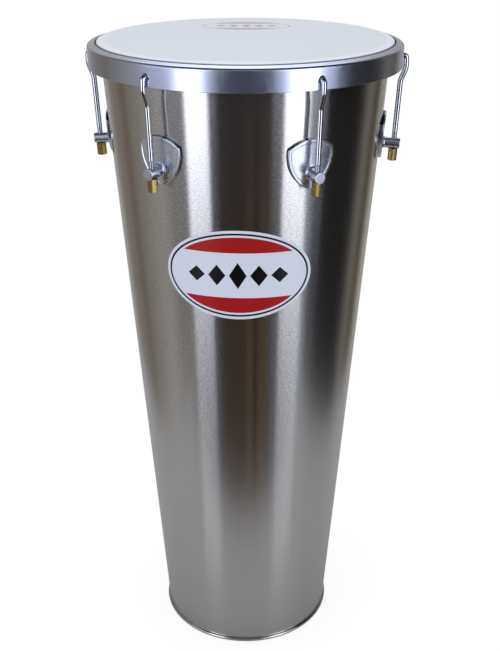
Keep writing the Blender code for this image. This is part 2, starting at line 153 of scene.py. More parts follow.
def brushedSteel():
    # Stainless sheet ground round the drum with a belt: its scratches run level, so every
    # reflection stays narrow round the drum and is drawn out up and down the wall.
    material, add, shader = newMaterial("brushed stainless steel sheet")
    place = add("ShaderNodeTexCoord")
    split = add("ShaderNodeSeparateXYZ", place.outputs["Object"])
    angle = add("ShaderNodeMath", split, split.outputs["Y"], operation="ARCTAN2")
    along = add("ShaderNodeMath", angle, brushing["streakRadius"] / brushing["streakLength"],
                operation="MULTIPLY")
    height = add("ShaderNodeMath", split.outputs["Z"], 1.0 / (brushing["streakPitch"] * mm),
                 operation="MULTIPLY")
    where = add("ShaderNodeCombineXYZ", X=along, Y=height)
    streaks = add("ShaderNodeTexNoise", noise_dimensions="2D", Scale=1.0, Detail=3.0,
                  Roughness=0.7, Vector=where)
    tone, gloss = (
        add("ShaderNodeMapRange", streaks, *brushing["noise"], middle - half, middle + half)
        for middle, half in ((brushing["toneMiddle"], brushing["tone"] / 2),
                             (brushing["roughness"], brushing["roughnessWander"])))
    paint = add("ShaderNodeMix", 1.0, hexColour(brushing["colour"]), tone, data_type="RGBA",
                blend_type="MULTIPLY")
    bump = add("ShaderNodeBump", Strength=1.0, Distance=brushing["streakDepth"] * mm,
               Height=streaks)
    tangent = add("ShaderNodeTangent", direction_type="UV_MAP", uv_map="turn")
    add(shader, Base_Color=paint, Roughness=gloss, Normal=bump, Tangent=tangent, Metallic=1.0,
        Anisotropic=brushing["oneWay"], Anisotropic_Rotation=0.25)
    return material


def plated(name, colour, roughness, wander, grain, bumpHeight):
    # a metal surface whose gloss wanders a little, with a faint unevenness, both grain long
    material, add, shader = newMaterial(name)
    place = add("ShaderNodeTexCoord")
    cloud = add("ShaderNodeTexNoise", Scale=1.0 / (grain * mm), Detail=3.0,
                Vector=place.outputs["Object"])
    gloss = add("ShaderNodeMapRange", cloud, 0.35, 0.65, roughness - wander, roughness + wander)
    bump = add("ShaderNodeBump", Strength=1.0, Distance=bumpHeight * mm, Height=cloud)
    add(shader, Base_Color=hexColour(colour), Metallic=1.0, Roughness=gloss, Normal=bump)
    return material


casting = {
    "colour": "#ced3df",
    # the lug's edge is painted darker near the shell: painted shade in the seam
    "seamShadeColour": "#34383f",
    "seamShadeDepth": 2.4,        # from the shell, as far as the painted shade reaches
    "seamShadeSoft": 0.5,
}


def castChromePlate():
    # Bright chrome on a zinc casting, which stays a little wavy. The outer edge close to the shell
    # is
    # painted darker where it faces up: painted shade, standing in for the shadow in the seam at
    # the shell.
    material = plated("chrome on cast zinc", casting["colour"], 0.27, 0.02, 6.0, 0.003)
    add = nodeAdder(material.node_tree)
    place, split, reach = placeNodes(add)
    wall = add("ShaderNodeMath", split.outputs["Z"], tan(taper), drum["footDiameter"] / 2 * mm,
               operation="MULTIPLY_ADD")
    proud = add("ShaderNodeMath", reach, wall, operation="SUBTRACT")
    # painted shade: darker within this reach of the shell, and only where the edge faces up
    low = add("ShaderNodeMapRange", proud, (casting["seamShadeDepth"] + casting["seamShadeSoft"]) * mm,
              (casting["seamShadeDepth"] - casting["seamShadeSoft"]) * mm)
    facing = add("ShaderNodeSeparateXYZ", place["Normal"])
    upward = add("ShaderNodeMapRange", facing.outputs["Z"], 0.05, 0.35)
    share = add("ShaderNodeMath", low, upward, operation="MULTIPLY")
    paint = add("ShaderNodeMix", share, hexColour(casting["colour"]),
                hexColour(casting["seamShadeColour"]), data_type="RGBA")
    add(material.node_tree.nodes["Principled BSDF"], Base_Color=paint)
    return material


badge = {
    "width": 180.0, "height": 115.0, "film": 0.12, "proud": 0.04,
    "middle": 584.5,        # height of its middle
    "bearing": -2.8,        # from the front towards +X
    "ringInset": 3.5, "ringWidth": 2.4,
    "capGap": 2.6,          # between the ring and the red caps
    "capFrom": 29.0,        # from the badge's middle up or down to a cap
    "lozenges": 5, "lozengeStep": 25.0, "lozengeWidth": 21.0, "lozengeHeight": 34.0,
    "lozengeFall": 0.14,    # how fast the half heights fall away from the middle
    "white": "#c6cddf", "black": "#0b0b0d", "red": "#98080b",
    "peel": 2.5, "peelDepth": 0.01,
    "rimPoints": 160, "strips": 72,
}


def printedMark(add, across, upright):
    # An oval mark of plain geometry, from sockets in millimetres: a black ring, a red cap at top
    # and bottom, and a row of black lozenges. Gives the masks of the black and of the red ink.
    ringInner = badge["ringInset"] + badge["ringWidth"]
    step = badge["lozengeStep"]
    steps = []
    for oval, inset in (("ringOutside", badge["ringInset"]), ("ringInside", ringInner),
                        ("capOval", ringInner + badge["capGap"])):
        steps += [("x", "DIVIDE", "across", badge["width"] / 2 - inset),
                  ("y", "DIVIDE", "upright", badge["height"] / 2 - inset),
                  ("x", "MULTIPLY", "x", "x"), ("y", "MULTIPLY", "y", "y"),
                  ("reach", "ADD", "x", "y"), (oval, "LESS_THAN", "reach", 1.0)]
    steps += [
        ("ring", "SUBTRACT", "ringOutside", "ringInside"),
        ("rise", "ABSOLUTE", "upright", 0.0),
        ("far", "GREATER_THAN", "rise", badge["capFrom"]),
        ("red", "MULTIPLY", "capOval", "far"),
        ("column", "DIVIDE", "across", step),
        ("column", "ROUND", "column", 0.0),
        ("column", "MULTIPLY", "column", step),
        ("aside", "SUBTRACT", "across", "column"),
        ("aside", "ABSOLUTE", "aside", 0.0),
        ("aside", "DIVIDE", "aside", badge["lozengeWidth"] / 2),
        ("out", "ABSOLUTE", "column", 0.0),
        ("fall", "MULTIPLY", "out", badge["lozengeFall"]),
        ("tall", "SUBTRACT", badge["lozengeHeight"] / 2, "fall"),
        ("rise", "DIVIDE", "rise", "tall"),
        ("slant", "ADD", "aside", "rise"),
        ("lozenge", "LESS_THAN", "slant", 1.0),
        ("inRow", "LESS_THAN", "out", badge["lozenges"] / 2 * step),
        ("lozenge", "MULTIPLY", "lozenge", "inRow"),
        ("black", "MAXIMUM", "ring", "lozenge")]
    made = {"across": across, "upright": upright}
    for name, operation, first, second in steps:
        made[name] = add("ShaderNodeMath", made.get(first, first), made.get(second, second),
                         operation=operation)
    return made["black"], made["red"]


headColours = {
    "milk": ("#ced5df", "#d3d9e2"), "cloud": 60.0,
    # the collar colour is painted light where the film lies on the shell's edge, and the groove
    # colour is painted shade beside the hoop
    "collar": "#d7dde6", "collarLightFrom": 170.0, "collarLightTo": 174.0,
    "grooveShade": "#5d6672", "grooveShadeFrom": 832.7, "grooveShadeTo": 831.9,
    "frost": 1.2, "frostDepth": 0.01,
    "markMiddle": 97.0, "markScale": 0.66, "markFaint": 0.5,
}


def milkyFilm():
    # Polyester film, frosted: bluish white, with painted light that makes it a little lighter
    # where it lies on the shell's edge, painted shade dark in the narrow groove beside the hoop,
    # and a faint small mark printed near the back.
    material, add, shader = newMaterial("frosted polyester film")
    place, split, reach = placeNodes(add)
    # painted light: the ring over the shell's edge is made lighter, standing in for how light
    # shows through the film there
    collar = add("ShaderNodeMapRange", reach, headColours["collarLightFrom"] * mm,
                 headColours["collarLightTo"] * mm, interpolation_type="SMOOTHSTEP")
    cloud = add("ShaderNodeTexNoise", Scale=1.0 / (headColours["cloud"] * mm), Detail=2.0,
                Vector=place["Object"])
    # painted shade: a dark band where the film goes down into the groove beside the hoop
    grooveShade = add("ShaderNodeMapRange", split.outputs["Z"], headColours["grooveShadeFrom"] * mm,
                 headColours["grooveShadeTo"] * mm, interpolation_type="SMOOTHSTEP")
    scale = headColours["markScale"] * mm
    back = add("ShaderNodeMath", split.outputs["Y"], headColours["markMiddle"] * mm,
               operation="SUBTRACT")
    across = add("ShaderNodeMath", split, scale, operation="DIVIDE")
    upright = add("ShaderNodeMath", back, scale, operation="DIVIDE")
    inks = [add("ShaderNodeMath", ink, headColours["markFaint"], operation="MULTIPLY")
            for ink in printedMark(add, across, upright)]
    seen = hexColour(headColours["milk"][0])
    for share, colour in ((cloud, headColours["milk"][1]), (collar, headColours["collar"]),
                          (inks[0], badge["black"]), (inks[1], badge["red"]),
                          (grooveShade, headColours["grooveShade"])):
        seen = add("ShaderNodeMix", share, seen, hexColour(colour), data_type="RGBA")
    frost = add("ShaderNodeTexNoise", Scale=1.0 / (headColours["frost"] * mm), Detail=2.0,
                Vector=place["Object"])
    bump = add("ShaderNodeBump", Strength=0.3, Distance=headColours["frostDepth"] * mm,
               Height=frost)
    add(shader, Base_Color=seen, Normal=bump, Roughness=0.42, IOR=1.57)
    return material


def badgeVinyl():
    # Printed self-adhesive vinyl under a satin laminate, with a faint orange peel.
    material, add, shader = newMaterial("printed vinyl badge")
    place = add("ShaderNodeUVMap", uv_map="print")
    split = add("ShaderNodeSeparateXYZ", place)
    across = add("ShaderNodeMath", split, 1.0 / mm, operation="MULTIPLY")
    upright = add("ShaderNodeMath", split.outputs["Y"], 1.0 / mm, operation="MULTIPLY")
    black, red = printedMark(add, across, upright)
    seen = hexColour(badge["white"])
    for share, colour in ((black, badge["black"]), (red, badge["red"])):
        seen = add("ShaderNodeMix", share, seen, hexColour(colour), data_type="RGBA")
    peel = add("ShaderNodeTexNoise", Scale=1.0 / (badge["peel"] * mm), Detail=1.0,
               Vector=add("ShaderNodeTexCoord").outputs["Object"])
    bump = add("ShaderNodeBump", Strength=0.4, Distance=badge["peelDepth"] * mm, Height=peel)
    add(shader, Base_Color=seen, Normal=bump, Roughness=0.30, Specular_IOR_Level=0.3)
    return material


shellSteel = brushedSteel()
# Dull chrome on drawn steel strip: bluish, with soft-edged reflections.
hoopSteel = plated("satin chrome on steel strip", "#c2c9dc", 0.235, 0.015, 9.0, 0.002)
# Bright chrome on steel rod: black and white lines along the rod.
rodChrome = plated("chrome on steel rod", "#cdd0d7", 0.10, 0.03, 3.0, 0.002)
castChrome = castChromePlate()
# Free-cutting brass as turned, handled dull: soft, broken glints.
nutBrass = plated("turned brass", "#93824a", 0.28, 0.06, 2.0, 0.012)
# Bright zinc on cold formed screws and stamped washers: pale grey, a little cloudy.
screwZinc = plated("zinc plated steel", "#b9bcc0", 0.32, 0.06, 2.0, 0.008)
# Aluminium as extruded and rolled to a ring: matt, pale.
hoopAluminium = plated("bare aluminium extrusion", "#c9cacc", 0.36, 0.05, 3.0, 0.006)
headFilm = milkyFilm()
badgeFilm = badgeVinyl()
print("materials made:", len(bpy.data.materials))


# Geometry node trees, each with named inputs for its sizes
seam = 0.002    # points closer than this are joined


def newTree(name, **inputs):
    tree = bpy.data.node_groups.new(name, "GeometryNodeTree")
    for label, kind in inputs.items():
        tree.interface.new_socket(label, in_out="INPUT", socket_type="NodeSocket" + kind)
    tree.interface.new_socket("Geometry", in_out="OUTPUT", socket_type="NodeSocketGeometry")
    add = nodeAdder(tree)
    return tree, add, add("NodeGroupInput").outputs, add("NodeGroupOutput")


def endTree(add, given, out, shape):
    # every tree ends as a real mesh in the material that is asked for
    real = add("GeometryNodeRealizeInstances", Geometry=shape)
    add(out, add("GeometryNodeSetMaterial", Geometry=real, Material=given["Finish"]))


def madeBy(tree, name, values):
    # evaluates the tree with these inputs and keeps the result as a plain mesh object
    holder = newObject(name + "Maker", bpy.data.meshes.new(name))
    modifier = holder.modifiers.new("Make", "NODES")
    modifier.node_group = tree
    for item in tree.interface.items_tree:
        if item.in_out == "INPUT" and item.name in values:
            modifier[item.identifier] = values[item.name]
    holder.update_tag()
    graph = bpy.context.evaluated_depsgraph_get()
    mesh = bpy.data.meshes.new_from_object(holder.evaluated_get(graph))
    drop(holder)
    mesh.name = name
    return newObject(name, mesh)


def turningTree():
    # sweeps a profile, a string of points in the XZ plane, round the Z axis
    tree, add, given, out = newTree("turned from a profile", Profile="Object", Sides="Int",
                                    Finish="Material")
    line = add("GeometryNodeObjectInfo", Object=given["Profile"])
    size = add("GeometryNodeAttributeDomainSize", component="MESH",
               Geometry=line.outputs["Geometry"]).outputs["Point Count"]
    across = add("FunctionNodeIntegerMath", given["Sides"], 1, operation="ADD")
    grid = add("GeometryNodeMeshGrid", Vertices_X=across, Vertices_Y=size)
    index = add("GeometryNodeInputIndex")
    row = add("FunctionNodeIntegerMath", index, size, operation="MODULO")
    column = add("FunctionNodeIntegerMath", index, size, operation="DIVIDE")
    position = add("GeometryNodeInputPosition")
    point = add("GeometryNodeSampleIndex", data_type="FLOAT_VECTOR",
                Geometry=line.outputs["Geometry"], Value=position, Index=row)
    turn = add("ShaderNodeMath", column, given["Sides"], operation="DIVIDE")
    angle = add("ShaderNodeMath", turn, 2 * pi, operation="MULTIPLY")
    placed = add("ShaderNodeVectorRotate", rotation_type="Z_AXIS", Vector=point, Angle=angle)
    mapped = add("GeometryNodeStoreNamedAttribute", data_type="FLOAT2", domain="CORNER",
                 Name="turn", Geometry=grid, Value=grid.outputs["UV Map"])
    moved = add("GeometryNodeSetPosition", Geometry=mapped, Position=placed)
    closed = add("GeometryNodeMergeByDistance", Geometry=moved, Distance=seam * mm)
    endTree(add, given, out, closed)
    return tree


def copyingTree():
    # copies of a piece, each turned on round the Z axis
    tree, add, given, out = newTree("copies round the drum", Piece="Object", Count="Int",
                                    FirstAngle="Float", StepAngle="Float", Finish="Material")
    piece = add("GeometryNodeObjectInfo", Object=given["Piece"])
    points = add("GeometryNodePoints", Count=given["Count"])
    index = add("GeometryNodeInputIndex")
    turn = add("ShaderNodeMath", index, given["StepAngle"], given["FirstAngle"],
               operation="MULTIPLY_ADD")
    angles = add("ShaderNodeCombineXYZ", Z=turn)
    rotation = add("FunctionNodeEulerToRotation", angles)
    copies = add("GeometryNodeInstanceOnPoints", Points=points, Instance=piece.outputs["Geometry"],
                 Rotation=rotation)
    endTree(add, given, out, copies)
    return tree


def rodTree():
    # a round rod along a path, with a rolled thread from the path's start
    tree, add, given, out = newTree(
        "rod along a path", Path="Object", Diameter="Float", Sides="Int", ThreadLength="Float",
        ThreadPitch="Float", ThreadDepth="Float", Finish="Material")
    path = add("GeometryNodeObjectInfo", Object=given["Path"])
    spline = add("GeometryNodeSplineParameter")
    onPath = {"data_type": "FLOAT", "domain": "POINT"}
    keepLength = add("GeometryNodeStoreNamedAttribute", **onPath, Name="runLength",
                     Geometry=path.outputs["Geometry"], Value=spline.outputs["Length"])
    radius = add("ShaderNodeMath", given["Diameter"], 2.0, operation="DIVIDE")
    circle = add("GeometryNodeCurvePrimitiveCircle", Resolution=given["Sides"], Radius=radius)
    index = add("GeometryNodeInputIndex")
    turn = add("ShaderNodeMath", index, given["Sides"], operation="DIVIDE")
    keepTurn = add("GeometryNodeStoreNamedAttribute", **onPath, Name="runTurn", Geometry=circle,
                   Value=turn)
    swept = add("GeometryNodeCurveToMesh", Fill_Caps=True, Curve=keepLength,
                Profile_Curve=keepTurn)
    runLength = add("GeometryNodeInputNamedAttribute", Name="runLength")
    runTurn = add("GeometryNodeInputNamedAttribute", Name="runTurn")
    turns = add("ShaderNodeMath", runLength, given["ThreadPitch"], operation="DIVIDE")
    phase = add("ShaderNodeMath", turns, runTurn, operation="SUBTRACT")
    ridge = add("ShaderNodeMath", phase, 0.5, operation="PINGPONG")
    inThread = add("ShaderNodeMath", runLength, given["ThreadLength"], operation="LESS_THAN")
    depth = add("ShaderNodeMath", given["ThreadDepth"], inThread, operation="MULTIPLY")
    fall = add("ShaderNodeMath", ridge, depth, operation="MULTIPLY")
    inwards = add("ShaderNodeMath", fall, -2.0, operation="MULTIPLY")
    normal = add("GeometryNodeInputNormal")
    offset = add("ShaderNodeVectorMath", normal, operation="SCALE", Scale=inwards)
    moved = add("GeometryNodeSetPosition", Geometry=swept, Offset=offset)
    closed = add("GeometryNodeMergeByDistance", Geometry=moved, Distance=seam * mm)
    endTree(add, given, out, closed)
    return tree


turning, copying, rodding = turningTree(), copyingTree(), rodTree()
print("geometry node trees made")


# Shapes and shading
def arcPoints(centreA, centreB, radius, start, end, steps):
    # both ends included, angles from the first axis
    angles = [radians(start + (end - start) * i / steps) for i in range(steps + 1)]
    return [(centreA + radius * cos(a), centreB + radius * sin(a)) for a in angles]


def supported(points, reach=0.3):
    # long straight runs get a point near each end, so that a bend's shading stays in the bend
    result = [points[0]]
    for (r0, z0), (r1, z1) in zip(points, points[1:]):
        run = hypot(r1 - r0, z1 - z0)
        if run > 5 * reach:
            for share in (reach / run, 1 - reach / run):
                result.append((r0 + (r1 - r0) * share, z0 + (z1 - z0) * share))
        result.append((r1, z1))
    return result


def faceOutwards(obj):
    shape = bmesh.new()
    shape.from_mesh(obj.data)
    bmesh.ops.recalc_face_normals(shape, faces=shape.faces)
    shape.to_mesh(obj.data)
    shape.free()


def shadeSmooth(obj, angle=28.0):
    obj.data.shade_smooth()
    obj.data.set_sharp_from_angle(angle=radians(angle))


def turned(name, profile, sides, finish):
    # from (radius, height) points
    outline = bpy.data.meshes.new(name + "Line")
    edges = [(i, i + 1) for i in range(len(profile) - 1)]
    outline.from_pydata([(r * mm, 0.0, z * mm) for r, z in profile], edges, [])
    line = newObject(name + "Line", outline)
    obj = madeBy(turning, name, {"Profile": line, "Sides": sides, "Finish": finish})
    drop(line)
    faceOutwards(obj)
    shadeSmooth(obj)
    return obj


def rodBetween(start, end, radius, sides):
    # a plain round cutter
    axis = end - start
    shape = bmesh.new()
    turn = axis.to_track_quat("Z", "X").to_matrix().to_4x4()
    place = Matrix.Translation((start + end) / 2) @ turn
    bmesh.ops.create_cone(shape, cap_ends=True, segments=sides, radius1=radius * mm,
                          radius2=radius * mm, depth=axis.length, matrix=place)
    obj = fromBmesh("cutter", shape)
    shadeSmooth(obj, 60.0)
    return obj


def cutStrips(shape, breadth, strips, axis):
    # upright cuts through a flat plate, so that it can bend round the drum
    for strip in range(1, strips):
        everything = shape.verts[:] + shape.edges[:] + shape.faces[:]
        bmesh.ops.bisect_plane(shape, geom=everything, plane_no=axis,
                               plane_co=axis * (breadth * (strip / strips - 0.5) * mm))


def shadingSource(obj):
    mesh = obj.data
    mesh.calc_loop_triangles()
    places = [v.co.copy() for v in mesh.vertices]
    faces = [tuple(t.vertices) for t in mesh.loop_triangles]
    return {"tree": BVHTree.FromPolygons(places, faces), "places": places, "faces": faces,
            "loops": [tuple(t.loops) for t in mesh.loop_triangles],
            "corners": [Vector(n.vector) for n in mesh.corner_normals]}


def sourceNormal(source, place, faceNormal):
    # the clean shape's normal nearest to the place, turned to the face's side, and how far off
    # it is, or none where the two aren't nearly parallel
    found, flat, index, away = source["tree"].find_nearest(place)
    if found is None or abs(flat.dot(faceNormal)) < 0.85:
        return None, 1e9
    triangle = [source["places"][i] for i in source["faces"][index]]
    normals = [source["corners"][i] for i in source["loops"][index]]
    normal = barycentric_transform(found, *triangle, *normals)
    return (normal if normal.dot(faceNormal) > 0 else -normal), away


def combined(obj, operations):
    # Booleans with other objects in turn, kept as a plain mesh. Each face takes its shading from
    # the clean shape that it was cut from.
    for operation, other in operations:
        modifier = obj.modifiers.new(operation, "BOOLEAN")
        modifier.operation, modifier.solver, modifier.object = operation, "EXACT", other
    graph = bpy.context.evaluated_depsgraph_get()
    graph.update()
    mesh = bpy.data.meshes.new_from_object(obj.evaluated_get(graph))
    kept = [shadingSource(o) for o in [obj] + [other for operation, other in operations]]
    normals = [Vector((0, 0, 0))] * len(mesh.loops)
    for face in mesh.polygons:
        middle = face.center
        best = min(kept, key=lambda source: sourceNormal(source, middle, face.normal)[1])
        for loop in face.loop_indices:
            corner = mesh.vertices[mesh.loops[loop].vertex_index].co
            # a little inside the face, to keep off its neighbours
            normal, away = sourceNormal(best, corner.lerp(middle, 0.02), face.normal)
            normals[loop] = normal.normalized() if normal else face.normal.copy()
    mesh.shade_smooth()
    mesh.normals_split_custom_set(normals)
    result = newObject(obj.name + "Cut", mesh)
    drop(obj, *(other for operation, other in operations))
    return result


def finishPiece(obj, name, body, nodes):
    obj.name = name
    obj.data.name = name
    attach(obj, body)
    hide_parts(*nodes)


shellSizes = {"wall": 1.0, "edgeRoll": 3.0, "footBead": 6.0, "beadFillet": 0.8,
              "beadTurn": 205.0, "wallFoot": 6.6}
headSizes = {"film": 0.25, "collar": 6.0, "overhang": 4.5, "skirt": 11.5, "flatRing": 60.0}


def shellProfile():
    roll, wall = shellSizes["edgeRoll"], shellSizes["wall"]
    rollZ = drum["height"] - headSizes["film"] - drum["seatGap"] - roll
    rollR = shellRadius(rollZ, -roll)
    lean = -degrees(taper)
    outside = arcPoints(rollR, rollZ, roll, 180, lean, 16)
    inside = arcPoints(rollR, rollZ, roll - wall, lean, 180, 12)
    bead, fillet = shellSizes["footBead"] / 2, shellSizes["beadFillet"]
    beadR = shellRadius(bead)
    # the hollow between wall and bead, touching both
    rise = sqrt((bead + fillet) ** 2 - fillet ** 2)
    hollowR, hollowZ = shellRadius(bead + rise, fillet), bead + rise
    toBead = degrees(atan2(bead - hollowZ, beadR - hollowR))
    hollow = arcPoints(hollowR, hollowZ, fillet, 180 + lean, 360 + toBead, 6)
    rim = arcPoints(beadR, bead, bead, 180 + toBead, -shellSizes["beadTurn"], 40)
    foot = (shellRadius(shellSizes["wallFoot"], -wall), shellSizes["wallFoot"])
    return supported(outside + hollow + rim + [foot] + inside)


def makeShell():
    shell = turned("shellWall", shellProfile(), drum["sides"], shellSteel)
    finishPiece(shell, "brushedShell", "drum", ["shell"])


makeShell()
print("shell made")


def makeBadge():
    # a thin closed oval sheet, cut in upright strips and laid round the cone
    shape = bmesh.new()
    turns = [2 * pi * i / badge["rimPoints"] for i in range(badge["rimPoints"])]
    shape.faces.new([shape.verts.new((badge["width"] / 2 * cos(a) * mm,
                                      badge["height"] / 2 * sin(a) * mm, 0.0)) for a in turns])
    cutStrips(shape, badge["width"], badge["strips"], Vector((1, 0, 0)))
    sheet = bmesh.ops.extrude_face_region(shape, geom=shape.faces[:])
    for vert in (g for g in sheet["geom"] if isinstance(g, bmesh.types.BMVert)):
        vert.co.z = badge["film"] * mm
    bmesh.ops.recalc_face_normals(shape, faces=shape.faces)
    printed = shape.loops.layers.uv.new("print")
    for face in shape.faces:
        for loop in face.loops:
            loop[printed].uv = loop.vert.co.xy
    for vert in shape.verts:
        across, upright, proud = vert.co / mm
        z = badge["middle"] + upright * cos(taper)
        radius = shellRadius(z, badge["proud"] + proud)
        bearing = radians(badge["bearing"]) + across / shellRadius(z)
        vert.co = Vector((radius * sin(bearing), -radius * cos(bearing), z)) * mm
    obj = fromBmesh("frontBadge", shape)
    obj.data.materials.append(badgeFilm)
    faceOutwards(obj)
    shadeSmooth(obj, 40.0)
    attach(obj, "drum")


makeBadge()
print("badge made")


def makeHead():
    height, collar, film = drum["height"], headSizes["collar"], headSizes["film"]
    skirtR = drum["topDiameter"] / 2 + headSizes["overhang"]
    bendR, bendZ = skirtR - collar, height - collar
    rim, flatR = height - headSizes["skirt"], bendR - headSizes["flatRing"]
    profile = ([(0.0, height), (flatR, height)] + arcPoints(bendR, bendZ, collar, 90, 0, 16)
               + [(skirtR, rim), (skirtR - film, rim)]
               + arcPoints(bendR, bendZ, collar - film, 0, 90, 12)
               + [(flatR, height - film), (0.0, height - film)])
    head = turned("headFilm", supported(profile, 0.15), drum["sides"], headFilm)
    finishPiece(head, "milkyHead", "drum", ["drumhead_film"])


makeHead()
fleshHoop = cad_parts["flesh_hoop"].data.materials
fleshHoop.clear()
fleshHoop.append(hoopAluminium)
print("head made")


hoopSizes = {
    "flangeBreadth": 9.5, "flangeSlope": 14.0, "wall": 2.0, "height": 27.6, "corner": 3.5,
    "topDrop": 2.4,         # of its lip under the head
    "lipGap": 0.5,          # beside the head's skirt
    "hole": 8.5, "holeRise": 11.5, "holeSides": 40, "edgeRound": 0.35,
}
lipRadius = drum["topDiameter"] / 2 + headSizes["overhang"] + hoopSizes["lipGap"]
lipZ = drum["height"] - hoopSizes["topDrop"]
hoopRadius = lipRadius + hoopSizes["flangeBreadth"]
hoopLowZ = lipZ - hoopSizes["height"]
hookHoleZ = hoopLowZ + hoopSizes["holeRise"]


def hoopProfile():
    slope = radians(hoopSizes["flangeSlope"])
    wall, corner, ease = hoopSizes["wall"], hoopSizes["corner"], hoopSizes["edgeRound"]
    cornerR = hoopRadius - corner
    cornerZ = lipZ - (cornerR - lipRadius) * tan(slope) - corner / cos(slope)
    tangent = 90 - hoopSizes["flangeSlope"]
    lipLow = (lipRadius, lipZ - wall / cos(slope) + ease)
    lip = [lipLow, (lipRadius, lipZ - ease), (lipRadius + ease * 0.3, lipZ - ease * 0.35),
           (lipRadius + ease, lipZ - ease * tan(slope))]
    return supported(lip + arcPoints(cornerR, cornerZ, corner, tangent, 0, 12)
                     + arcPoints(hoopRadius - ease, hoopLowZ + ease, ease, 0, -90, 4)
                     + arcPoints(hoopRadius - wall + ease, hoopLowZ + ease, ease, -90, -180, 4)
                     + arcPoints(cornerR, cornerZ, corner - wall, 0, tangent, 6) + [lipLow])


def makeHoop():
    ring = turned("hoopRing", hoopProfile(), drum["sides"], hoopSteel)
    punches = []
    for index in range(drum["stations"]):
        turn = Matrix.Rotation(stationAngle(index), 4, "Z")
        inner, outer = (turn @ Vector(((hoopRadius + reach) * mm, 0, hookHoleZ * mm))
                        for reach in (-2 * hoopSizes["wall"], hoopSizes["wall"]))
        punches.append(("DIFFERENCE", rodBetween(inner, outer, hoopSizes["hole"] / 2,
                                                hoopSizes["holeSides"])))
    finishPiece(combined(ring, punches), "buffedHoop", "counterhoop", ["counterhoop"])


makeHoop()
print("counterhoop made")


# Hooks, lugs, nuts and screws are modelled in the plane of +X and Z, then turned to their stations
lugSizes = {
    "drop": 125.7,          # of the post's axis under the head
    "width": 57.0, "rise": 39.0, "tail": 20.5, "thickness": 4.2,
    "topRadius": 43.0, "sideRadius": 45.0, "cornerRadius": 3.0, "tipRadius": 5.0,
    "rimRound": 1.2, "rimBreadth": 3.2, "fieldDepth": 0.6, "fieldSlope": 1.2, "strips": 20,
    "post": 13.6, "postLength": 25.4, "postRound": 0.8, "postFillet": 2.4,
    "standoff": 17.9,       # of the rod from the shell
    "holeClearance": 0.5, "spotFace": 1.0,
    "postSides": 64, "spotSides": 48, "holeSides": 32, "boreSides": 24,
}
hookSizes = {
    "rod": 6.6, "sides": 28, "tip": 2.5, "bend": 4.0,
    "jogStart": 0.6, "jogEnd": 22.0,    # under the hoop
    "tuck": 0.9,            # of the rod's own line inside the hoop's outside
    "threadLength": 34.0, "pitch": 1.0, "threadDepth": 0.55,
}
nutSizes = {"acrossFlats": 11.0, "length": 15.5, "recess": 1.5, "chamfer": 0.9, "edge": 0.25,
            "endSlope": 30.0, "endInset": 0.4, "sink": 0.7, "sides": 48, "boreSides": 40}
screwSizes = {"diameter": 5.0, "point": 0.5, "grip": 10.0, "clearance": 0.8,
              "head": 11.0, "headHeight": 3.6, "dome": 1.6,
              "recessWidth": 1.1, "recessAcross": 5.6, "recessDepth": 2.0,
              "washer": 18.0, "washerThickness": 1.6, "washerEase": 0.3,
              "sides": 48, "washerSides": 64}
lugZ = drum["height"] - lugSizes["drop"]
nutTop = -(lugSizes["post"] / 2 - lugSizes["spotFace"] + drum["seatGap"])
nutBottom = nutTop - nutSizes["length"]
rodEnd = nutBottom + nutSizes["recess"]


def lugFrame():
    # X along the post away from the shell, Z up the wall, at the post's root
    root = Vector((shellRadius(lugZ) * mm, 0.0, lugZ * mm))
    return Matrix.Translation(root) @ Matrix.Rotation(taper, 4, "Y")


def rodFrame():
    # Z up the rod, X away from the shell, where rod and post cross
    crossing = lugFrame() @ Vector((lugSizes["standoff"] * mm, 0.0, 0.0))
    top = Vector(((hoopRadius - hookSizes["tuck"]) * mm, 0.0, hoopLowZ * mm))
    run = top - crossing
    return Matrix.Translation(crossing) @ Matrix.Rotation(atan2(run.x, run.z), 4, "Y")


def atStations(piece, name, count, first, finish):
    return madeBy(copying, name, {
        "Piece": piece, "Count": count, "Finish": finish, "FirstAngle": stationAngle(first),
        "StepAngle": 2 * pi / drum["stations"]})


def oneAtEach(piece, name, body, node, finish):
    # a piece of its own at each station, on its own body
    for index in range(drum["stations"]):
        copy = atStations(piece, name, 1, index, finish)
        number = f"_{index + 1}"
        finishPiece(copy, name + number, body + number, [node + number])
    drop(piece)


def allAtOnce(piece, name, node, finish):
    # the pieces of all stations in one, fixed to the drum
    count = drum["stations"]
    made = atStations(piece, name, count, 0, finish)
    finishPiece(made, name, "drum", [f"{node}_{i + 1}" for i in range(count)])
    drop(piece)


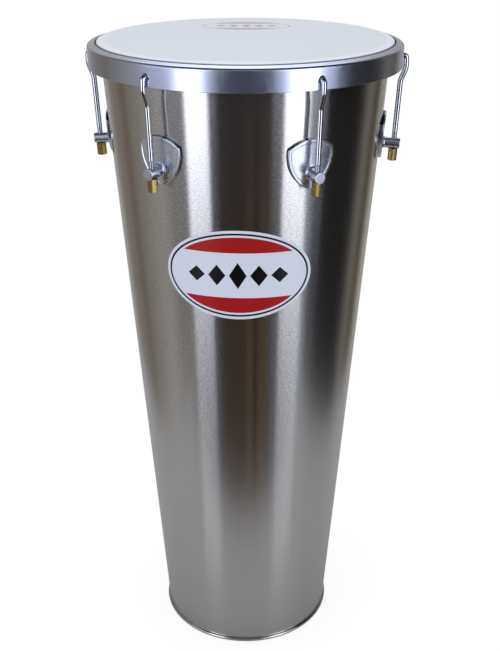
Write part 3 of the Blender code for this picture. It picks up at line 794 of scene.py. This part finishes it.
def hookPath():
    # metres, from the threaded end up to the tip inside the hoop
    tipZ = hookHoleZ - (hoopSizes["hole"] / 2 - hookSizes["rod"] / 2 - drum["seatGap"])
    bend, threadLength = hookSizes["bend"], hookSizes["threadLength"]
    rod = rodFrame()
    along = rod.to_3x3() @ Vector((0, 0, 1))
    crossing = rod.translation / mm

    def straight(z):
        return crossing.x + (z - crossing.z) * along.x / along.z

    threadSteps = int(threadLength / hookSizes["pitch"] * 8)
    stops = [threadLength * i / threadSteps for i in range(threadSteps + 1)]
    # close points past the thread and before the jog keep the plain rod's shading even
    stops += [threadLength + 0.4, threadLength + 0.8, threadLength + 1.6]
    ends = [rod @ Vector((0, 0, (rodEnd + stop) * mm)) for stop in stops]
    points = [(end.x / mm, end.z / mm) for end in ends]
    jogLow, jogTop = hoopLowZ - hookSizes["jogEnd"], hoopLowZ - hookSizes["jogStart"]
    points += [(straight(z), z) for z in (jogLow - 3.0, jogLow - 1.0)]
    steps = 20
    for i in range(steps + 1):
        z = jogLow + (jogTop - jogLow) * i / steps
        t = 1 - i / steps
        blend = t * t * (3 - 2 * t)
        points.append(((hoopRadius + bend) * (1 - blend) + straight(z) * blend, z))
    points += arcPoints(hoopRadius, tipZ - bend, bend, 0, 90, 14)
    points.append((hoopRadius - hoopSizes["wall"] - hookSizes["tip"], tipZ))
    return [Vector((r * mm, 0.0, z * mm)) for r, z in points]


def makeHooks():
    points = hookPath()
    curve = bpy.data.curves.new("hookLine", "CURVE")
    curve.dimensions = "3D"
    spline = curve.splines.new("POLY")
    spline.points.add(len(points) - 1)
    for point, place in zip(spline.points, points):
        point.co = (*place, 1.0)
    line = newObject("hookLine", curve)
    rod = madeBy(rodding, "hookRod", {
        "Path": line, "Diameter": hookSizes["rod"] * mm, "Sides": hookSizes["sides"],
        "ThreadLength": hookSizes["threadLength"] * mm, "ThreadPitch": hookSizes["pitch"] * mm,
        "ThreadDepth": hookSizes["threadDepth"] * mm, "Finish": rodChrome})
    drop(line)
    faceOutwards(rod)
    shadeSmooth(rod, 50.0)
    oneAtEach(rod, "bentHook", "hook", "tension_hook", rodChrome)


makeHooks()
print("tension hooks made")


def makeNuts():
    flats, length, sink = nutSizes["acrossFlats"], nutSizes["length"], nutSizes["sink"]
    corner = flats / 2 / cos(pi / 6)
    shape = bmesh.new()
    middle = Matrix.Translation((0, 0, (nutTop + nutBottom) / 2 * mm))
    bmesh.ops.create_cone(shape, cap_ends=True, segments=6, radius1=corner * mm,
                          radius2=corner * mm, depth=length * mm, matrix=middle)
    upright = [e for e in shape.edges
               if abs(e.verts[0].co.z - e.verts[1].co.z) > nutSizes["chamfer"] * mm]
    bmesh.ops.bevel(shape, geom=upright, offset=nutSizes["edge"] * mm, segments=3, profile=0.5,
                    affect="EDGES")
    prism = fromBmesh("nutPrism", shape)
    shadeSmooth(prism, 25.0)
    # the ends are turned down to a shallow cone, and the bore is countersunk
    reach, face = corner + 1.0, flats / 2 - nutSizes["endInset"]
    fall = (reach - face) * tan(radians(nutSizes["endSlope"]))
    ends = turned("nutEnds", supported([
        (0.0, nutTop), (face, nutTop), (reach, nutTop - fall), (reach, nutBottom + fall),
        (face, nutBottom), (0.0, nutBottom)], 0.1), nutSizes["sides"], nutBrass)
    bore = hookSizes["rod"] / 2 + drum["seatGap"]
    mouth = bore + sink
    drill = turned("nutDrill", [
        (0.0, nutTop + 1.0), (mouth + 1.0, nutTop + 1.0), (mouth, nutTop), (bore, nutTop - sink),
        (bore, nutBottom + sink), (mouth, nutBottom), (mouth + 1.0, nutBottom - 1.0),
        (0.0, nutBottom - 1.0)], nutSizes["boreSides"], nutBrass)
    nut = combined(prism, [("INTERSECT", ends), ("DIFFERENCE", drill)])
    nut.data.transform(rodFrame())
    oneAtEach(nut, "brassNut", "nut", "tuning_nut", nutBrass)


makeNuts()
print("tuning nuts made")


def circlesMeet(a, radiusA, b, radiusB):
    # to the right of the line from a to b
    runX, runY = b[0] - a[0], b[1] - a[1]
    span = hypot(runX, runY)
    along = (span ** 2 + radiusA ** 2 - radiusB ** 2) / (2 * span)
    aside = sqrt(radiusA ** 2 - along ** 2)
    runX, runY = runX / span, runY / span
    return (a[0] + runX * along + runY * aside, a[1] + runY * along - runX * aside)


def bearingTo(centre, point):
    return degrees(atan2(point[1] - centre[1], point[0] - centre[0]))


def shieldArcs():
    # (centre, radius, start, end, steps) down the right side of the shield
    half = lugSizes["width"] / 2
    topR, sideR = lugSizes["topRadius"], lugSizes["sideRadius"]
    cornerR, tipR = lugSizes["cornerRadius"], lugSizes["tipRadius"]
    top = (0.0, lugSizes["rise"] - topR)
    shoulder = (half, top[1] + sqrt(topR ** 2 - half ** 2))
    side = circlesMeet(shoulder, sideR, (0.0, -lugSizes["tail"]), sideR)
    corner = circlesMeet(top, topR - cornerR, side, sideR - cornerR)
    tip = (0.0, side[1] - sqrt((sideR - tipR) ** 2 - side[0] ** 2))
    topEnd, sideStart = bearingTo(top, corner), bearingTo(side, corner)
    sideEnd = bearingTo(side, tip)
    return [(top, topR, 90, topEnd, 12), (corner, cornerR, topEnd, sideStart, 8),
            (side, sideR, sideStart, sideEnd, 18), (tip, tipR, sideEnd, -90, 6)]


def shieldRing(inset):
    # (breadth, rise, outward direction) round the shield, inset from its outline
    right = []
    for (cx, cz), radius, start, end, steps in shieldArcs():
        for i in range(steps + 1):
            a = radians(start + (end - start) * i / steps)
            x, z = cx + (radius - inset) * cos(a), cz + (radius - inset) * sin(a)
            if not right or hypot(x - right[-1][0], z - right[-1][1]) > 0.01:
                right.append((x, z, cos(a), sin(a)))
    return right + [(-x, z, -nx, nz) for x, z, nx, nz in reversed(right[1:-1])]


def bentRoundShell(point):
    # from (proud, breadth, rise) of the flat plate, in metres, to the cone, in the station plane
    proud, breadth, rise = point / mm
    z = lugZ + rise * cos(taper) - proud * sin(taper)
    return Vector((sqrt(shellRadius(z, proud) ** 2 - breadth ** 2), breadth, z)) * mm


def shieldPlate():
    # A flat plate with a rounded rim and a field a little lower than it, cut in upright strips
    # and bent. It keeps each point's own fair normal, which the bending turns with it.
    rimRound, thickness = lugSizes["rimRound"], lugSizes["thickness"]
    deep, slope, inner = lugSizes["fieldDepth"], lugSizes["fieldSlope"], lugSizes["rimBreadth"]
    # (proud, inset, angle of the fair normal from the outward direction) of each ring
    levels = [(drum["seatGap"], 0.0, 0.0)]
    steps = 5
    for i in range(steps + 1):
        a = pi / 2 * i / steps
        levels.append((thickness - rimRound + rimRound * sin(a), rimRound * (1 - cos(a)), a))
    wallAngle = pi - atan2(slope, deep)
    levels += [(thickness, inner, pi / 2),
               (thickness - 0.12 * deep, inner + 0.2 * slope, wallAngle),
               (thickness - 0.88 * deep, inner + 0.8 * slope, wallAngle),
               (thickness - deep, inner + slope, pi / 2)]
    shape = bmesh.new()
    fair = shape.verts.layers.float_vector.new("fair")
    rings = []
    for proud, inset, a in levels:
        ring = []
        for x, z, nx, nz in shieldRing(inset):
            vert = shape.verts.new((proud * mm, x * mm, z * mm))
            vert[fair] = Vector((sin(a), cos(a) * nx, cos(a) * nz))
            ring.append(vert)
        rings.append(ring)
    shape.faces.new(rings[0])
    shape.faces.new(rings[-1])
    for low, high in zip(rings, rings[1:]):
        for i in range(len(low)):
            shape.faces.new((low[i - 1], low[i], high[i], high[i - 1]))
    cutStrips(shape, lugSizes["width"], lugSizes["strips"], Vector((0, 1, 0)))
    bmesh.ops.recalc_face_normals(shape, faces=shape.faces)
    lean = Matrix.Rotation(taper, 3, "Y")
    fairNormals = []
    for vert in shape.verts:
        turn = Matrix.Rotation(asin(vert.co.y / (shellRadius(lugZ) * mm)), 3, "Z")
        fairNormals.append((turn @ lean @ vert[fair]).normalized())
        vert.co = bentRoundShell(vert.co)
    plate = fromBmesh("shieldPlate", shape)
    mesh = plate.data
    mesh.shade_smooth()
    corners = []
    for face in mesh.polygons:
        for index in face.vertices:
            normal = fairNormals[index]
            corners.append(normal if normal.dot(face.normal) > 0.8 else face.normal.copy())
    mesh.normals_split_custom_set(corners)
    return plate


def makeLugs():
    radius, ease, fillet = lugSizes["post"] / 2, lugSizes["postRound"], lugSizes["postFillet"]
    root, length = lugSizes["thickness"], lugSizes["postLength"]
    profile = ([(0.0, length)] + arcPoints(radius - ease, length - ease, ease, 90, 0, 6)
               + arcPoints(radius + fillet, root + fillet, fillet, 180, 270, 10)
               + [(radius + fillet, root / 2), (0.0, root / 2)])
    place, rod = lugFrame(), rodFrame()
    plate = shieldPlate()
    post = turned("post", supported(profile, 0.3), lugSizes["postSides"], castChrome)
    post.data.transform(place @ Matrix.Rotation(pi / 2, 4, "Y"))
    past, seat = lugSizes["post"] * mm, (nutTop + drum["seatGap"]) * mm
    hole = rodBetween(rod @ Vector((0, 0, -past)), rod @ Vector((0, 0, past)),
                      hookSizes["rod"] / 2 + lugSizes["holeClearance"], lugSizes["holeSides"])
    spot = rodBetween(rod @ Vector((0, 0, seat - past)), rod @ Vector((0, 0, seat)), radius,
                      lugSizes["spotSides"])
    bore = rodBetween(place @ Vector((-1.0 * mm, 0, 0)),
                      place @ Vector(((screwSizes["grip"] + 1.0) * mm, 0, 0)),
                      screwSizes["diameter"] / 2 + drum["seatGap"], lugSizes["boreSides"])
    lug = combined(plate, [("UNION", post), ("DIFFERENCE", hole), ("DIFFERENCE", spot),
                           ("DIFFERENCE", bore)])
    allAtOnce(lug, "castLugs", "lug", castChrome)


makeLugs()
print("lugs made")


def makeScrews():
    washerR, ease = screwSizes["washer"] / 2, screwSizes["washerEase"]
    # the washer's rim just touches the inside of the round wall
    face = -(shellSizes["wall"] + drum["seatGap"] + washerR * tan(pi / 60))
    back = face - screwSizes["washerThickness"]
    hole = screwSizes["diameter"] / 2 + screwSizes["clearance"]
    washer = turned("washer", supported([
        (hole, face), (washerR - ease, face), (washerR, face - ease), (washerR, back + ease),
        (washerR - ease, back), (hole, back), (hole, face)], 0.15), screwSizes["washerSides"],
        screwZinc)
    headTop = back - drum["seatGap"]
    headBack = headTop - screwSizes["headHeight"]
    radius, shank, dome = screwSizes["head"] / 2, screwSizes["diameter"] / 2, screwSizes["dome"]
    grip, point = screwSizes["grip"], screwSizes["point"]
    curve = [(radius * cos(radians(a)), headBack + dome - dome * sin(radians(a)))
             for a in range(0, 91, 10)]
    screw = turned("screw", supported([
        (0.0, grip), (shank - point, grip), (shank, grip - point), (shank, headTop),
        (radius, headTop)] + curve, 0.2), screwSizes["sides"], screwZinc)
    # a cross recess in the domed head
    arms = []
    size = Matrix.Diagonal((screwSizes["recessWidth"] * mm, screwSizes["recessAcross"] * mm,
                            2 * screwSizes["recessDepth"] * mm, 1.0))
    for turn in (0, pi / 2):
        shape = bmesh.new()
        place = Matrix.Translation((0, 0, headBack * mm)) @ Matrix.Rotation(turn, 4, "Z")
        bmesh.ops.create_cube(shape, size=1.0, matrix=place @ size)
        arms.append(("DIFFERENCE", fromBmesh("recess", shape)))
    screw = combined(screw, arms)
    for piece, name, node in ((washer, "plainWashers", "lug_washer"),
                              (screw, "panHeadScrews", "lug_screw")):
        piece.data.transform(lugFrame() @ Matrix.Rotation(pi / 2, 4, "Y"))
        allAtOnce(piece, name, node, screwZinc)


makeScrews()
print("screws and washers made")


# Studio: a pale table top in a white room. The metal sees two tall soft boxes and, by bearing
# from the drum's front, the darker and lighter parts of the room between them.
studio = {
    "tableFront": 400.0,       # from the drum's axis to the table's front edge
    "tableReach": 620.0,       # to its other edges
    "tableGap": 0.2,           # under the drum's foot
    "tableColour": "#b1b1b3",
    "tableWhite": 1.62,        # brings the unshadowed table up to the white of the room
    "matteLight": 1.0,
    "topLight": 1.2,
    "topSize": 1200.0,
    "topPlace": (-250.0, -550.0, 2500.0),
    "topAim": 830.0,           # height on the drum's axis
    "zenith": "#1e2226",
    "zenithFrom": 35.0, "zenithTo": 60.0,
    "boxSoft": 1.5, "boxSoftEnds": 4.0, "stripSoft": 4.0, "stripSoftEnds": 0.06,
}
# bearings of the left and right edge, lowest and highest edge, radiance, colour
softBoxes = [
    (-24.0, 24.0, -88.0, -30.0, 0.045, "#ffb04a"),  # the brown floor before the table,
    (1.0, 24.0, -88.0, -28.0, 0.09, "#ffc878"),     # lighter to the right,
    (8.6, 12.2, -88.0, -24.0, 0.0, "#000000"),      # with a dark gap
    (-22.0, 22.0, -12.0, 30.0, 0.11, "#c8d4ff"),
    (-76.0, -22.0, -11.5, 34.0, 1.0, "#e4eaff"),
    (22.0, 68.0, -11.5, 34.0, 1.3, "#e4eaff"),
    (-49.0, -29.5, -24.0, 34.0, 3.3, "#eef2ff"),
    (32.0, 53.0, -24.0, 34.0, 3.4, "#f0f4ff"),
]
# light strips overhead: edges from the horizon ahead, over the zenith, to the horizon behind,
# reach to either side as the X of the direction, radiance, colour
overhead = [(40.0, 62.0, 0.6, 0.35, "#f4f8ff"), (128.0, 146.0, 0.3, 2.3, "#f4f7ff")]
# bearings and colours round the walls, blended between
room = [
    (-180, "#b6b3b0"), (-153, "#b1aeaa"), (-145, "#9c9893"), (-139, "#8a8583"), (-123, "#857a70"),
    (-117, "#71665c"), (-109, "#8a857c"), (-99, "#928e8a"), (-90, "#a29e9a"), (-81, "#a5a19c"),
    (-75, "#9a958f"), (-66, "#807b76"), (-57, "#7b7773"), (-40, "#47474a"), (-21, "#2a2623"),
    (-10, "#1e1812"), (4, "#20170f"), (14, "#2a2018"), (25, "#38312b"), (40, "#6a6d74"),
    (58, "#8f949f"), (64, "#1a1a1a"), (103, "#101010"), (111, "#3a3633"), (120, "#7c7974"),
    (130, "#655a4f"), (136, "#4a3f31"), (142, "#8f8a82"), (149, "#adaaa0"), (165, "#b0aca7"),
    (180, "#b6b3b0")]


def windowNodes(add, value, low, high, soft):
    # 1 between low and high, falling softly to 0 at both
    rise = add("ShaderNodeMapRange", value, low - soft, low + soft,
               interpolation_type="SMOOTHSTEP")
    fall = add("ShaderNodeMapRange", value, high - soft, high + soft, 1.0, 0.0,
               interpolation_type="SMOOTHSTEP")
    return add("ShaderNodeMath", rise, fall, operation="MULTIPLY")


def makeFloor():
    shape = bmesh.new()
    front, reach = studio["tableFront"] * mm, studio["tableReach"] * mm
    corners = [(-reach, -front), (reach, -front), (reach, reach), (-reach, reach)]
    shape.faces.new([shape.verts.new((x, y, -studio["tableGap"] * mm)) for x, y in corners])
    floor = fromBmesh("tableTop", shape)
    material, add, shader = newMaterial("matt pale table top")
    add(shader, Base_Color=hexColour(studio["tableColour"]), Roughness=0.9, Specular_IOR_Level=0.0)
    # the camera sees half the lit table and half a plain white, so the shadow stays
    rays = add("ShaderNodeLightPath")
    half = add("ShaderNodeMath", rays.outputs["Is Camera Ray"], 0.5, operation="MULTIPLY")
    white = add("ShaderNodeEmission", Color=(1, 1, 1, 1), Strength=studio["tableWhite"])
    seen = add("ShaderNodeMixShader", half, shader, white)
    add(material.node_tree.nodes["Material Output"], Surface=seen)
    floor.data.materials.append(material)


def makeWorld():
    world = bpy.data.worlds.new("studio")
    world.use_nodes = True
    bpy.context.scene.world = world
    world.node_tree.nodes.clear()
    add = nodeAdder(world.node_tree)
    place = add("ShaderNodeTexCoord")
    split = add("ShaderNodeSeparateXYZ", place.outputs["Generated"])
    ahead = add("ShaderNodeMath", split.outputs["Y"], -1.0, operation="MULTIPLY")
    bearing = add("ShaderNodeMath", split, ahead, operation="ARCTAN2")
    rise = add("ShaderNodeMath", split.outputs["Z"], operation="ARCSINE")
    arch = add("ShaderNodeMath", split.outputs["Z"], ahead, operation="ARCTAN2")
    share = add("ShaderNodeMapRange", bearing, -pi, pi)
    walls = add("ShaderNodeValToRGB", Fac=share)
    stops = walls.color_ramp.elements
    while len(stops) < len(room):
        stops.new(0.5)
    for stop, (angle, colour) in zip(stops, room):
        stop.position = (angle + 180) / 360
    for stop, (angle, colour) in zip(stops, room):
        stop.color = hexColour(colour)
    # each layer covers those before it: the dark ceiling, its light strips, the soft boxes
    up = add("ShaderNodeMapRange", rise, radians(studio["zenithFrom"]),
             radians(studio["zenithTo"]), interpolation_type="SMOOTHSTEP")
    seen = add("ShaderNodeMix", up, walls, hexColour(studio["zenith"]), data_type="RGBA")
    windows = [((arch, radians(low), radians(high), radians(studio["stripSoft"])),
                (split, -aside, aside, studio["stripSoftEnds"]), hexColour(colour, level))
               for low, high, aside, level, colour in overhead]
    windows += [((bearing, radians(left), radians(right), radians(studio["boxSoft"])),
                 (rise, radians(low), radians(high), radians(studio["boxSoftEnds"])),
                 hexColour(colour, level)) for left, right, low, high, level, colour in softBoxes]
    for first, second, colour in windows:
        inside = add("ShaderNodeMath", windowNodes(add, *first), windowNodes(add, *second),
                     operation="MULTIPLY")
        seen = add("ShaderNodeMix", inside, seen, colour, data_type="RGBA")
    forMetal = add("ShaderNodeBackground", Color=seen, Strength=1.0)
    forMatt = add("ShaderNodeBackground", Color=(1, 1, 1, 1), Strength=studio["matteLight"])
    white = add("ShaderNodeBackground", Color=(1, 1, 1, 1), Strength=1.0)
    rays = add("ShaderNodeLightPath")
    shiny = add("ShaderNodeMath", rays.outputs["Is Glossy Ray"],
                rays.outputs["Is Transmission Ray"], operation="MAXIMUM")
    indirect = add("ShaderNodeMixShader", shiny, forMatt, forMetal)
    final = add("ShaderNodeMixShader", rays.outputs["Is Camera Ray"], indirect, white)
    add("ShaderNodeOutputWorld", Surface=final)


def makeLights():
    # one large soft light over the head, a little to the front
    light = bpy.data.lights.new("topLight", "AREA")
    light.shape = "SQUARE"
    light.size = studio["topSize"] * mm
    light.energy = studio["topLight"] * pi * light.size ** 2    # watts that give this radiance
    lamp = newObject("topLight", light)
    lamp.location = Vector(studio["topPlace"]) * mm
    aim = Vector((0, 0, studio["topAim"] * mm)) - lamp.location
    lamp.rotation_euler = aim.to_track_quat("-Z", "Y").to_euler()
    lamp.visible_camera = False
    lamp.visible_glossy = False


lens = {
    "across": 36.0, "focalLength": 55.79, "distance": 1263.4, "height": 1020.1,
    "round": 0.65,          # bearing of the camera from the drum's front towards +X
    "pitch": 24.336, "yaw": -0.25,
    "nearest": 50.0,        # that it sees
}


def makeCamera():
    camera = bpy.data.cameras.new("camera")
    camera.sensor_width = lens["across"]
    camera.lens = lens["focalLength"]
    camera.clip_start = lens["nearest"] * mm
    obj = newObject("camera", camera)
    bearing = radians(lens["round"])
    obj.location = Vector((lens["distance"] * sin(bearing), -lens["distance"] * cos(bearing),
                           lens["height"])) * mm
    turn = (Matrix.Rotation(bearing + radians(lens["yaw"]), 3, "Z")
            @ Matrix.Rotation(radians(90 - lens["pitch"]), 3, "X"))
    obj.rotation_euler = turn.to_euler()
    bpy.context.scene.camera = obj


makeFloor()
makeWorld()
makeLights()
makeCamera()
bpy.context.scene.view_settings.view_transform = "Standard"
print("studio made")
